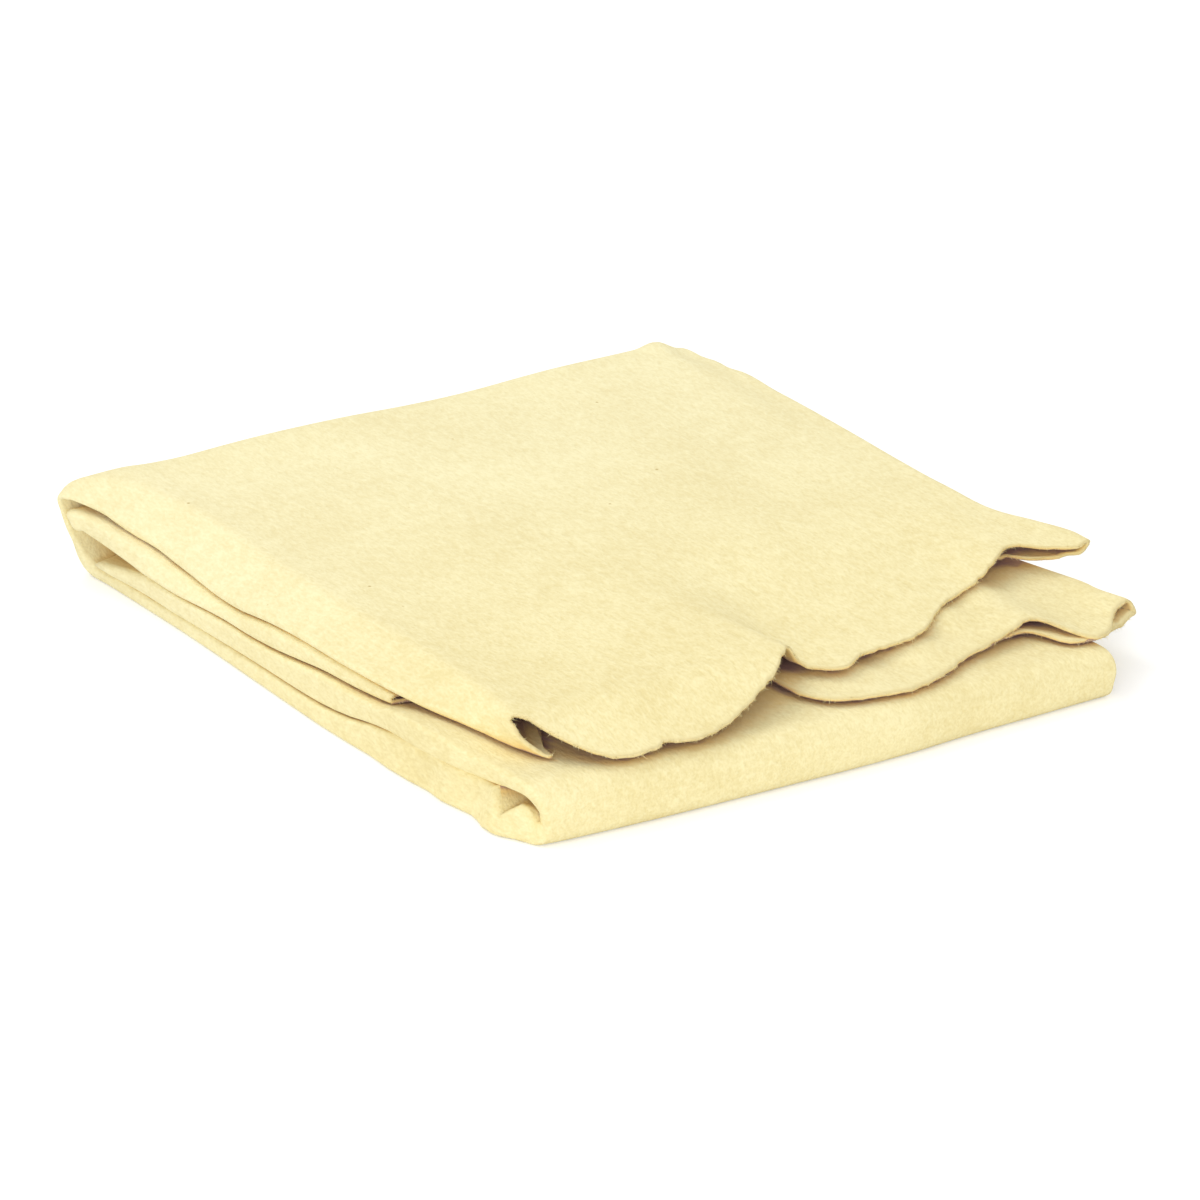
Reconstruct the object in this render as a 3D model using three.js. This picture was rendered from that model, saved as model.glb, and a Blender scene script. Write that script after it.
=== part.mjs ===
import * as THREE from 'three';

// A chamois leather: one hide, folded in thirds across its width and then in half twice
// along its length, so that it lies as four panels of up to three leaves each.
// Millimetres, +Z up. X runs along the front fold, Y from the front fold to the back folds.
// The raw ends of the top two panels lie over the front fold.

// Driving sizes
const panelWidth = 168;
const panelLength = 200;
const stackHeight = 25;
const leather = 0.85;
const leafAir = 0.45;

// Heights that follow from them, measured to the middle of a leaf
const leavesPerPanel = 3;
const panelCount = 4;
const leafStep = leather + leafAir;
const floorLeaf = leather / 2;
const crownLeaf = stackHeight - leather / 2;
const pressedPanel = leafStep * (leavesPerPanel - 1);
const loft = crownLeaf - floorLeaf - leafStep * (leavesPerPanel * panelCount - 1);

// Joints between the panels, counted from the floor. Each height is that of the pressed
// leaves below it and a share of the loft: [share of the length, share of the loft].
const bottomJoint = {
  panelsBelow: 1,
  acrossPower: 1,
  leftShares: [[0, 0.74], [0.1, 0.72], [0.25, 0.6], [0.475, 0.3], [0.7, 0.24], [0.89, 0.07], [1, 0]],
  rightShares: [[0, 0.24], [0.25, 0.22], [0.5, 0.18], [0.75, 0.13], [1, 0]],
};
const middleJoint = {
  panelsBelow: 2,
  acrossPower: 0.7,
  leftShares: [[0, 0.84], [0.1, 0.84], [0.2, 0.79], [0.31, 0.61], [0.5, 0.49], [0.7, 0.29], [0.875, 0.1], [1, 0.08]],
  rightShares: [[0, 0.39], [0.25, 0.39], [0.5, 0.29], [0.75, 0.16], [1, 0.08]],
};
const topJoint = {
  panelsBelow: 3,
  acrossPower: 1,
  leftShares: [[0, 0.42], [0.06, 0.45], [0.15, 0.54], [0.31, 0.61], [0.5, 0.64], [0.75, 0.63], [1, 0.7]],
  rightShares: [[0, 0.42], [0.2, 0.44], [0.5, 0.52], [1, 0.58]],
};

// Top leaf: its crown from left to right, the soft crease that runs in from the raw edge,
// the lip that hangs over the front fold and the tip at the right
const crownShares = [[0, 0.993], [0.071, 1], [0.19, 0.952], [0.476, 0.972], [0.774, 0.944], [0.982, 0.895], [1.131, 0.863]];
const backRiseShare = 0.19;
const creaseInnerShares = [0.435, 0.39];
const creaseOuterShares = [0.524, 0.1];
const creaseFade = 12;
const creaseDropShare = 0.55;
const creaseSoftWidth = 30;
const creaseSharpWidth = 2.6;
const lipStart = 22;
const lipDepth = 24;
const lipDropShare = 0.73;
const tipStartShare = 0.87;
const tipWidth = 24;
const tipLiftShare = 0.9;

// Second panel: waves of its raw end, [share of the width, share of the loft]
const waveStart = 60;
const waveDepth = 45;
const underWaveShares = [[0.5, 0.02], [0.68, -0.04], [0.79, -0.02], [0.875, 0.06], [0.93, 0.12], [0.97, -0.08], [1.02, -0.07], [1.08, 0.05]];
const mainWaveShares = [[0.5, 0], [0.68, 0], [0.83, 0.05], [0.93, 0.08], [0.97, 0], [1.02, 0], [1.08, 0.04]];

// Raw edges, [share of the width, share of the length]
const topMainEdgeShares = [
  [0.06, 0.12], [0.071, 0.105], [0.107, 0.048], [0.137, 0.01], [0.18, -0.004], [0.214, -0.004], [0.304, 0.006],
  [0.34, 0.01], [0.417, 0.047], [0.476, 0.077], [0.518, 0.1], [0.536, 0.11], [0.554, 0.085], [0.59, 0.068],
  [0.637, 0.09], [0.708, 0.097], [0.738, 0.102], [0.857, 0.17], [0.935, 0.2], [1, 0.24], [1.036, 0.235],
  [1.077, 0.21], [1.125, 0.195],
];
const topUnderEdgeShares = [[0.476, 0.15], [0.893, 0.26], [1.012, 0.27], [1.071, 0.245], [1.125, 0.195]];
const topWrapEdgeShares = [[0.09, 0.065], [0.12, 0.065], [0.238, 0.095], [0.512, 0.12]];
const topCreaseEdgeShare = 0.065;
const topRidgeEdgeShare = 0.105;
const secondUnderEdgeShares = [
  [0.5, 0.13], [0.518, 0.085], [0.548, 0.04], [0.595, 0.025], [0.679, 0.018], [0.792, 0.062], [0.875, 0.078],
  [0.929, 0.08], [0.958, 0.045], [0.982, 0.028], [1.012, 0.03], [1.042, 0.045], [1.083, 0.065],
];
const secondMainEdgeShares = [
  [0, 0.29], [0.119, 0.26], [0.357, 0.18], [0.536, 0.08], [0.595, 0.04], [0.679, 0.027], [0.792, 0.06],
  [0.875, 0.07], [0.929, 0.06], [0.964, 0.035], [1.012, 0.03], [1.042, 0.045], [1.083, 0.065],
];
const secondWrapEdgeShares = [[0, 0.29], [0.179, 0.26], [0.476, 0.17]];
const secondLeftEdgeShare = 0.29;
const secondTipEdgeShare = 0.06;

// Side folds of the panels, [share of the length, share of the width]
const topRidgeShares = [[0, 0.071], [0.1, 0.071], [0.3, 0.083], [0.55, 0.071], [0.825, 0.077], [0.95, 0.054]];
const topCreaseShares = [[0.05, 0.107], [0.07, 0.095], [0.195, 0.036], [0.31, 0.012], [0.5, 0.005], [0.75, 0.001], [1, -0.015]];
const topRightShares = [[0.19, 1.115], [0.265, 1.107], [0.33, 1.086], [0.415, 1.071], [0.525, 1.071], [0.75, 1.077], [0.9, 1.071], [1, 1.048]];
const secondLeftShares = [[0.285, 0.012], [0.5, 0.003], [0.75, -0.006], [0.86, -0.01]];
const secondRightShares = [[0.05, 1.083], [0.22, 1.051], [0.5, 1.024], [0.86, 1.012]];
const thirdLeftShares = [[0.06, 0.024], [0.15, 0.009], [0.3, 0.002], [0.5, 0], [0.95, -0.003]];
const bottomLeftShares = [[0.05, 0.012], [0.15, 0.002], [0.5, 0], [0.95, -0.003]];
const sideSlant = 0.3;

// Side folds along the bends, [share of the bend, share of the width]
const backBendSide = {
  rightShares: [[0, 1.068], [0.35, 1.048], [0.6, 1.012], [1, 1]],
  creaseShares: [[0, -0.01], [0.3, -0.031], [0.6, -0.018], [1, -0.003]],
  ridgeShares: [[0, 0.059], [0.3, -0.009], [0.6, -0.012], [1, -0.003]],
  uprightShares: [[0, 0], [0.3, 1]],
};
const frontBendSide = {
  rightShares: [[0, 1], [0.3, 0.985], [0.7, 0.985], [1, 1]],
  creaseShares: [[0, 0.009], [0.3, 0.027], [0.7, 0.033], [1, 0.02]],
  ridgeShares: [[0, 0.009], [0.3, 0.027], [0.7, 0.033], [1, 0.02]],
  uprightShares: [[0, 1], [1, 1]],
};
const innerBendSide = {
  rightShares: [[0, 1], [1, 1.012]],
  creaseShares: [[0, -0.002], [0.4, -0.008], [0.7, -0.019], [1, -0.01]],
  ridgeShares: [[0, -0.002], [0.4, -0.008], [0.7, -0.019], [1, -0.01]],
  uprightShares: [[0, 1], [1, 1]],
};

// Long raw edges of the flaps, as shares of the width, from the start to the end of each stretch
const underFlapShares = { top: [0.583, 0.393], back: [0.393, 0.327], bottom: [0.327, 0.327], front: [0.327, 0.345],
  third: [0.345, 0.357], inner: [0.357, 0.393], second: [0.393, 0.512] };
const wrapFlapShares = { top: [0.524, 0.548], back: [0.548, 0.625], bottom: [0.625, 0.625], front: [0.625, 0.625],
  third: [0.625, 0.595], inner: [0.595, 0.565], second: [0.565, 0.476] };
const middleLeafShare = 0.5;
const topUnderLeafShare = 0.1;
const secondUnderLeafShare = 0.3;
const topUnderLeafRun = 2.5;

// Outer back bend: it leans out over its foot
const backBend = 16;
const backOverhang = 5.3;
const backFootInset = 0.4;
const backHump = 0.5;
const backSkew = 2;
const backCuts = [7.5, 6.5];
const backInnerCuts = [4.5, 4.5];
const bendAir = 0.6;

// Front bend
const frontBend = 14;
const frontOverhang = 1.6;
const frontLean = 1;
const frontCuts = [3.2, 6];
const frontInnerCuts = [2.6, 3.4];

// Inner back bend: a soft lump round a cavity
const innerBend = 32;
const lumpFootInset = 5;
const lumpOverhang = 0.2;
const lumpRise = 1;
const lumpDepth = 4;
const lumpWall = 4.6;
const lumpFootWall = 3.6;
const lumpCuts = [3.6, 4.6];
const cavityCuts = [2.6, 3.4];

// Where the bends take over from the panels
const backBendStart = panelLength - backBend;
const innerBendStart = panelLength - innerBend;

const bendInset = pressedPanel + bendAir;
const skewAt = (x) => backSkew * (x / panelWidth - 1 / 2);

// Rounding of the side folds, and the largest share of a straight run that a corner may take
const cornerShare = 0.45;
const ridgeCut = 3;
const creaseCut = 1.4;
const topSideRise = 7;
const topRightRise = 5;
const frontLeftRise = 9;
const frontRightRise = 5;
const sideRise = 4;
const backPressShare = 0.4;
const frontPressShares = [0.2, 0.8];

// Steps of the mesh across the hide, along each bend and along each panel
const acrossSteps = { under: 1, turn: 2, wrap: 1 };
const mainRunShares = [0, 0.06, 0.2, 0.36, 0.525, 0.555, 0.78];
const bendSteps = { runs: [1, 1, 1], turns: [2, 2] };
const frontBendSteps = { runs: [1, 1, 1], turns: [2, 3] };
const topRowShares = [0, 0.07, 0.2, 0.5];
const middleRowShare = 0.455;
const secondRowShares = [0, 0.4, 0.75, 1];

const mix = (from, to, t) => from + (to - from) * t;
const hold = (t) => Math.min(Math.max(t, 0), 1);
const ease = (t) => hold(t) ** 2 * (3 - 2 * hold(t));

// Value at one place of a smooth curve through [place, value] points, level past both ends
function through(place, points) {
  const last = points.length - 1;
  const held = Math.min(Math.max(place, points[0][0]), points[last][0]);
  let k = 0;
  while (k < last - 1 && held >= points[k + 1][0]) k += 1;
  const slopeAt = (i) => {
    if (i === 0 || i === last) return 0;
    return (points[i + 1][1] - points[i - 1][1]) / (points[i + 1][0] - points[i - 1][0]);
  };
  const span = points[k + 1][0] - points[k][0];
  const t = (held - points[k][0]) / span;
  const lead = t * (1 - t) ** 2 * span * slopeAt(k);
  const trail = t ** 2 * (t - 1) * span * slopeAt(k + 1);
  return mix(points[k][1], points[k + 1][1], ease(t)) + lead + trail;
}
const sideAt = (y, shares) => panelWidth * through(y / panelLength, shares);
const edgeAt = (x, shares) => panelLength * through(x / panelWidth, shares);

// Points along straight runs joined by rounded corners; each run keeps a straight stretch
const towards = (corner, next, cut) => corner.clone().lerp(next, Math.min(cut / corner.distanceTo(next), cornerShare));
function route(corners, cuts, { runs, turns }) {
  const points = corners.map(([u, v]) => new THREE.Vector2(u, v));
  const last = points.length - 1;
  const path = [];
  let start = points[0];
  for (let k = 1; k <= last; k += 1) {
    const end = k === last ? points[last] : towards(points[k], points[k - 1], cuts[k - 1]);
    for (let q = 0; q < runs[k - 1]; q += 1) path.push(start.clone().lerp(end, q / runs[k - 1]));
    if (k < last) {
      start = towards(points[k], points[k + 1], cuts[k - 1]);
      const turn = new THREE.QuadraticBezierCurve(end, points[k], start);
      for (let q = 0; q < turns[k - 1]; q += 1) path.push(turn.getPoint(q / turns[k - 1]));
    }
  }
  path.push(points[last]);
  return path;
}

// Heights of the joints between the panels and of the top leaf
function jointHeight(joint, x, y) {
  const place = y / panelLength;
  const across = hold(x / panelWidth) ** joint.acrossPower;
  const loftShare = mix(through(place, joint.leftShares), through(place, joint.rightShares), across);
  return floorLeaf + leafStep * (leavesPerPanel * joint.panelsBelow - 1 / 2) + loft * loftShare;
}
function crownHeight(x, y) {
  const crown = crownLeaf * through(x / panelWidth, crownShares);
  const [innerX, outerX] = [creaseInnerShares, creaseOuterShares].map((shares) => shares[0] * panelWidth);
  const [innerY, outerY] = [creaseInnerShares, creaseOuterShares].map((shares) => shares[1] * panelLength);
  const back = backRiseShare * ease((y - innerY) / (panelLength - innerY)) * ease((2 * x) / panelWidth - 1);
  const along = hold((innerY - y) / (innerY - outerY));
  const beyond = ease((x - mix(innerX, outerX, along)) / mix(creaseSoftWidth, creaseSharpWidth, ease(along)));
  const drop = creaseDropShare * ease((innerY + creaseFade - y) / (innerY + creaseFade - outerY));
  const tip = tipLiftShare * ease((x - tipStartShare * panelWidth) / tipWidth);
  const lip = lipDropShare * ease((lipStart - y) / lipDepth);
  return crown + loft * (back - lip * (1 - beyond) - drop * beyond * (1 - tip));
}
const topBottom = (x, y) => jointHeight(topJoint, x, y) + leafStep / 2;
const secondTop = (x, y) => jointHeight(topJoint, x, y) - leafStep / 2;
const secondBottom = (x, y) => jointHeight(middleJoint, x, y) + leafStep / 2;
const thirdTop = (x, y) => jointHeight(middleJoint, x, y) - leafStep / 2;
const thirdBottom = (x, y) => jointHeight(bottomJoint, x, y) + leafStep / 2;
const bottomTop = (x, y) => jointHeight(bottomJoint, x, y) - leafStep / 2;

// Section across one panel, from the raw edge of the under flap, round the right fold, along
// the main leaf and round the left fold to the raw edge of the wrap flap. level is 0 at the
// wrap flap and 1 at the main leaf.
const columnLeaves = [
  ...Array(acrossSteps.under).fill('under'),
  ...Array(acrossSteps.turn * 2).fill('turn'),
  ...Array(mainRunShares.length).fill('main'),
  'ridge', 'side', 'side', 'side',
  ...Array(acrossSteps.wrap + 1).fill('wrap'),
];
function section({ underEdge, wrapEdge, right, ridge, crease, leftRise, rightRise, underLevel, upright }) {
  const under = underLevel * rightRise;
  const turnCut = (rightRise - under) / 2;
  const mainStart = right - turnCut;
  const { turn } = acrossSteps;
  const rightFold = route(
    [[underEdge, under], [right, under], [right, rightRise], [mainStart, rightRise]],
    [turnCut, turnCut],
    { runs: [acrossSteps.under, 0, 0], turns: [turn, turn] },
  );
  const mainEnd = [ridge + ridgeCut / cornerShare, leftRise];
  const slantedFold = route(
    [mainEnd, [ridge, leftRise], [crease, leafStep], [crease, 0], [wrapEdge, 0]],
    [ridgeCut, creaseCut, creaseCut],
    { runs: [1, 1, 0, acrossSteps.wrap], turns: [1, 1, 1] },
  );
  const uprightFold = route(
    [mainEnd, [ridge, leftRise], [crease, 0], [wrapEdge, 0]],
    [leftRise / 2, leftRise / 2],
    { runs: [1, 0, acrossSteps.wrap], turns: [2, 2] },
  );
  const leftFold = slantedFold.map((point, k) => point.lerp(uprightFold[k], upright));
  return [
    ...rightFold.slice(0, -1).map((point) => ({ x: point.x, level: point.y / rightRise })),
    ...mainRunShares.map((share) => ({ x: mix(mainStart, ridge + ridgeCut, share), level: 1 })),
    ...leftFold.slice(1).map((point) => ({ x: point.x, level: point.y / leftRise })),
  ].map((point, column) => ({ ...point, leaf: columnLeaves[column] }));
}

// One row of a flat panel: every point lies between the wrap flap's and the main leaf's height
function panelRow(points, lengthwise, wrapHeight, mainHeight) {
  return points.map(({ x, level, leaf }) => {
    const y = lengthwise(x, level, leaf);
    return new THREE.Vector3(x, y, mix(wrapHeight(x, y), mainHeight(x, y), level));
  });
}

// Rows of a bend: every point lies between the wrap flap's and the main leaf's path
function bendRows(name, side, wrapPath, mainPath, rises) {
  const count = mainPath(0).length - 1;
  const widthAt = (shares, t) => panelWidth * through(t, shares);
  return Array.from({ length: count }, (_, q) => {
    const t = q / count;
    return section({
      underEdge: panelWidth * mix(...underFlapShares[name], t),
      wrapEdge: panelWidth * mix(...wrapFlapShares[name], t),
      right: widthAt(side.rightShares, t),
      ridge: widthAt(side.ridgeShares, t),
      crease: widthAt(side.creaseShares, t),
      leftRise: through(t, rises.left),
      rightRise: through(t, rises.right),
      underLevel: middleLeafShare,
      upright: through(t, side.uprightShares),
    }).map(({ x, level }) => {
      const point = wrapPath(x)[q].clone().lerp(mainPath(x)[q], level);
      return new THREE.Vector3(x, point.x, point.y);
    });
  });
}

// Top panel: the wrap flap lowest, its raw end at the front right
function topRows() {
  return topRowShares.map((t) => {
    const frontOf = (shares) => sideAt(mix(shares[0][0] * panelLength, backBendStart, t), shares);
    const edges = {
      under: (x) => edgeAt(x, topUnderEdgeShares),
      turn: (x, level) => mix(edgeAt(x, topUnderEdgeShares), edgeAt(x, topMainEdgeShares), ease(level)),
      main: (x) => edgeAt(x, topMainEdgeShares),
      ridge: (x) => edgeAt(x, topMainEdgeShares),
      side: (x, level) => panelLength * mix(topCreaseEdgeShare, topRidgeEdgeShare, level),
      wrap: (x) => edgeAt(x, topWrapEdgeShares),
    };
    const points = section({
      underEdge: panelWidth * mix(...underFlapShares.top, t),
      wrapEdge: panelWidth * mix(...wrapFlapShares.top, t),
      right: frontOf(topRightShares),
      ridge: sideAt(mix(topRidgeEdgeShare * panelLength, backBendStart, t), topRidgeShares),
      crease: sideAt(mix(topCreaseEdgeShare * panelLength, backBendStart, t), topCreaseShares),
      leftRise: topSideRise,
      rightRise: topRightRise,
      underLevel: mix(topUnderLeafShare, middleLeafShare, ease(topUnderLeafRun * t)),
      upright: 0,
    });
    return panelRow(points, (x, level, leaf) => mix(edges[leaf](x, level), backBendStart, t), topBottom, crownHeight);
  });
}

// Outer back bend, from the top panel down to the bottom one
function backRows() {
  const foot = panelLength - backFootInset;
  const reachAt = (x) => panelLength + backOverhang + skewAt(x);
  const humpAt = (x) => crownHeight(x, backBendStart) + backHump;
  const mainPath = (x) => route([
    [backBendStart, crownHeight(x, backBendStart)], [reachAt(x), humpAt(x)],
    [foot, floorLeaf], [backBendStart, floorLeaf],
  ], backCuts, bendSteps);
  const wrapPath = (x) => route([
    [backBendStart, topBottom(x, backBendStart)], [reachAt(x) - bendInset, humpAt(x) - pressedPanel],
    [foot - bendInset, floorLeaf + pressedPanel], [backBendStart, bottomTop(x, backBendStart)],
  ], backInnerCuts, bendSteps);
  const risesFrom = (start) => [[0, start], [backPressShare, pressedPanel], [1, pressedPanel]];
  const rises = { left: risesFrom(topSideRise), right: risesFrom(topRightRise) };
  return bendRows('back', backBendSide, wrapPath, mainPath, rises);
}

// Bottom panel: the main leaf flat on the floor
function bottomRows() {
  return [backBendStart, panelLength * middleRowShare].map((y) => {
    const t = (backBendStart - y) / (backBendStart - frontBend);
    const left = sideAt(y, bottomLeftShares);
    const points = section({
      underEdge: panelWidth * mix(...underFlapShares.bottom, t),
      wrapEdge: panelWidth * mix(...wrapFlapShares.bottom, t),
      right: panelWidth,
      ridge: left,
      crease: left + sideSlant,
      leftRise: bottomTop(left, y) - floorLeaf,
      rightRise: bottomTop(panelWidth, y) - floorLeaf,
      underLevel: middleLeafShare,
      upright: 1,
    });
    return panelRow(points, () => y, bottomTop, () => floorLeaf);
  });
}

// Front bend, from the bottom panel up to the third: the smooth face under the raw ends
function frontRows() {
  const thirdFront = (x) => thirdTop(x, frontBend);
  const mainPath = (x) => route([
    [frontBend, floorLeaf], [-frontOverhang, floorLeaf],
    [frontLean - frontOverhang, thirdFront(x)], [frontBend, thirdFront(x)],
  ], frontCuts, frontBendSteps);
  const wrapPath = (x) => route([
    [frontBend, bottomTop(x, frontBend)], [bendInset - frontOverhang, floorLeaf + pressedPanel],
    [frontLean - frontOverhang + bendInset, thirdFront(x) - pressedPanel], [frontBend, thirdBottom(x, frontBend)],
  ], frontInnerCuts, frontBendSteps);
  const [pressStart, pressEnd] = frontPressShares;
  const risesFrom = (start) => [[0, start], [pressStart, pressedPanel], [pressEnd, pressedPanel], [1, sideRise]];
  const rises = { left: risesFrom(frontLeftRise), right: risesFrom(frontRightRise) };
  return bendRows('front', frontBendSide, wrapPath, mainPath, rises);
}

// Third panel: the main leaf on top
function thirdRows() {
  return [frontBend, panelLength * middleRowShare].map((y) => {
    const t = (y - frontBend) / (innerBendStart - frontBend);
    const left = sideAt(y, thirdLeftShares);
    const points = section({
      underEdge: panelWidth * mix(...underFlapShares.third, t),
      wrapEdge: panelWidth * mix(...wrapFlapShares.third, t),
      right: panelWidth,
      ridge: left,
      crease: left + sideSlant,
      leftRise: thirdTop(left, y) - thirdBottom(left, y),
      rightRise: thirdTop(panelWidth, y) - thirdBottom(panelWidth, y),
      underLevel: middleLeafShare,
      upright: 1,
    });
    return panelRow(points, () => y, thirdBottom, thirdTop);
  });
}

// Inner back bend, from the third panel up to the second, round a cavity open at both sides
function innerRows() {
  const foot = panelLength - lumpFootInset;
  const reachAt = (x) => panelLength + lumpOverhang + skewAt(x);
  const lumpTop = (x) => secondTop(x, innerBendStart) + lumpRise;
  const wrapPath = (x) => route([
    [innerBendStart, thirdBottom(x, innerBendStart)], [foot, floorLeaf + pressedPanel + leafStep],
    [reachAt(x), lumpTop(x)], [innerBendStart, secondTop(x, innerBendStart)],
  ], lumpCuts, bendSteps);
  const mainPath = (x) => route([
    [innerBendStart, thirdTop(x, innerBendStart)],
    [foot - lumpFootWall, floorLeaf + pressedPanel * 2 + leafStep],
    [reachAt(x) - lumpWall, lumpTop(x) - lumpDepth], [innerBendStart, secondBottom(x, innerBendStart)],
  ], cavityCuts, bendSteps);
  const rises = [[0, sideRise], [1, sideRise]];
  return bendRows('inner', innerBendSide, wrapPath, mainPath, { left: rises, right: rises });
}

// Second panel: the wrap flap on top, its raw end at the front
function secondRows() {
  const waveAt = (x, y, shares) => loft * through(x / panelWidth, shares) * ease((waveStart - y) / waveDepth);
  const mainHeight = (x, y) => secondBottom(x, y) + waveAt(x, y, mainWaveShares);
  const lift = (x, y) => (waveAt(x, y, underWaveShares) - secondUnderLeafShare * waveAt(x, y, mainWaveShares));
  const wrapHeight = (x, y) => secondTop(x, y) + lift(x, y) / (1 - secondUnderLeafShare);
  const edges = {
    under: (x) => edgeAt(x, secondUnderEdgeShares),
    turn: () => panelLength * secondTipEdgeShare,
    main: (x) => edgeAt(x, secondMainEdgeShares),
    ridge: () => panelLength * secondLeftEdgeShare,
    side: () => panelLength * secondLeftEdgeShare,
    wrap: (x) => edgeAt(x, secondWrapEdgeShares),
  };
  return secondRowShares.map((t) => {
    const left = sideAt(mix(innerBendStart, secondLeftEdgeShare * panelLength, t), secondLeftShares);
    const points = section({
      underEdge: panelWidth * mix(...underFlapShares.second, t),
      wrapEdge: panelWidth * mix(...wrapFlapShares.second, t),
      right: sideAt(mix(innerBendStart, secondTipEdgeShare * panelLength, t), secondRightShares),
      ridge: left,
      crease: left + sideSlant,
      leftRise: sideRise,
      rightRise: sideRise,
      underLevel: mix(middleLeafShare, secondUnderLeafShare, t),
      upright: 1,
    });
    return panelRow(points, (x, level, leaf) => mix(innerBendStart, edges[leaf](x, level), t), wrapHeight, mainHeight);
  });
}

// Middle surface of the whole hide: rows run along it, columns across it
const rows = [...topRows(), ...backRows(), ...bottomRows(), ...frontRows(), ...thirdRows(), ...innerRows(), ...secondRows()];

// Direction square to the hide at one point, away from the floor on the top panel's main leaf
function faceNormal(j, i) {
  const rowAt = (k) => rows[Math.min(Math.max(k, 0), rows.length - 1)];
  const pointAt = (row, k) => row[Math.min(Math.max(k, 0), row.length - 1)];
  const across = pointAt(rows[j], i + 1).clone().sub(pointAt(rows[j], i - 1));
  const along = pointAt(rowAt(j + 1), i).clone().sub(pointAt(rowAt(j - 1), i));
  return along.cross(across).normalize();
}

// The leather's two faces and its raw edges as one closed body, standing on the floor
function hideGeometry() {
  const columns = rows[0].length;
  const face = (side) => rows.flatMap((row, j) => row.map((point, i) => {
    const skin = point.clone().addScaledVector(faceNormal(j, i), (side * leather) / 2);
    return skin.setZ(Math.max(skin.z, 0));
  }));
  const points = [...face(1), ...face(-1)];
  const at = (side, j, i) => (side * rows.length + j) * columns + i;
  const index = [];
  const quad = (a, b, c, d) => index.push(a, b, c, a, c, d);
  for (let j = 0; j + 1 < rows.length; j += 1) {
    for (let i = 0; i + 1 < columns; i += 1) {
      quad(at(0, j, i), at(0, j + 1, i), at(0, j + 1, i + 1), at(0, j, i + 1));
      quad(at(1, j, i), at(1, j, i + 1), at(1, j + 1, i + 1), at(1, j + 1, i));
    }
  }
  const border = [];
  for (let i = 0; i + 1 < columns; i += 1) border.push([0, i]);
  for (let j = 0; j + 1 < rows.length; j += 1) border.push([j, columns - 1]);
  for (let i = columns - 1; i > 0; i -= 1) border.push([rows.length - 1, i]);
  for (let j = rows.length - 1; j > 0; j -= 1) border.push([j, 0]);
  border.forEach(([j, i], k) => {
    const [nextJ, nextI] = border[(k + 1) % border.length];
    quad(at(0, j, i), at(0, nextJ, nextI), at(1, nextJ, nextI), at(1, j, i));
  });
  const geometry = new THREE.BufferGeometry().setFromPoints(points);
  geometry.setIndex(index);
  geometry.computeVertexNormals();
  return geometry;
}

const suede = new THREE.MeshStandardMaterial({ color: 0xf6e8b6, roughness: 0.95, metalness: 0, side: THREE.FrontSide });
const hide = new THREE.Mesh(hideGeometry(), suede);
hide.name = 'chamois_hide';

// The origin is the middle of the bundle's footprint, on the floor
hide.geometry.computeBoundingBox();
const box = hide.geometry.boundingBox;
hide.position.set(-(box.min.x + box.max.x) / 2, -(box.min.y + box.max.y) / 2, -box.min.z);

const chamoisLeather = new THREE.Group();
chamoisLeather.add(hide);
export default chamoisLeather;
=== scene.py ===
import math

import bpy
import numpy as np
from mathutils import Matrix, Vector
from mathutils.bvhtree import BVHTree


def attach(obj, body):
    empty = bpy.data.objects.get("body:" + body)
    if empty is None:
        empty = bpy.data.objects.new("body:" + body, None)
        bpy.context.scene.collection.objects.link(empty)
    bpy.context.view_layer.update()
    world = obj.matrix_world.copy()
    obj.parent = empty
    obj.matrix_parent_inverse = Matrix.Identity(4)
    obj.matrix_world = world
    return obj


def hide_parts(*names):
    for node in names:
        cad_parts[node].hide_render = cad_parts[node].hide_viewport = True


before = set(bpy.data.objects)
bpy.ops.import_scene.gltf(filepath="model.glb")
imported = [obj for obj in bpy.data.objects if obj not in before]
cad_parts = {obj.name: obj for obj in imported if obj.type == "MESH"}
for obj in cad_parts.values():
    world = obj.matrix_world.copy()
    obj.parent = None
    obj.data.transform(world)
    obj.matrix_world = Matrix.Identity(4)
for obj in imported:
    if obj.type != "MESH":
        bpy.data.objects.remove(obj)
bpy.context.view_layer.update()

# A chamois leather folded in thirds across and then in half twice along.
# The hide is worked out in millimetres from the corner where the left and front folds meet:
# X along the front fold, Y towards the back folds, Z up.
MM = 0.001
SEED = 7

# That corner in the frame, in metres
FOLD_CORNER = Vector((-0.09151, -0.10145, 0.0))

# Driving sizes, as in the CAD model
PANEL_WIDTH = 168.0
PANEL_LENGTH = 200.0
STACK_HEIGHT = 25.0
LEATHER = 0.85
LEAF_AIR = 0.45
LEAF_STEP = LEATHER + LEAF_AIR
LEAVES_PER_PANEL = 3
PANEL_COUNT = 4
FLOOR_LEAF = LEATHER / 2
CROWN_LEAF = STACK_HEIGHT - LEATHER / 2
PRESSED_PANEL = LEAF_STEP * (LEAVES_PER_PANEL - 1)
LOFT = CROWN_LEAF - FLOOR_LEAF - LEAF_STEP * (LEAVES_PER_PANEL * PANEL_COUNT - 1)

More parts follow.
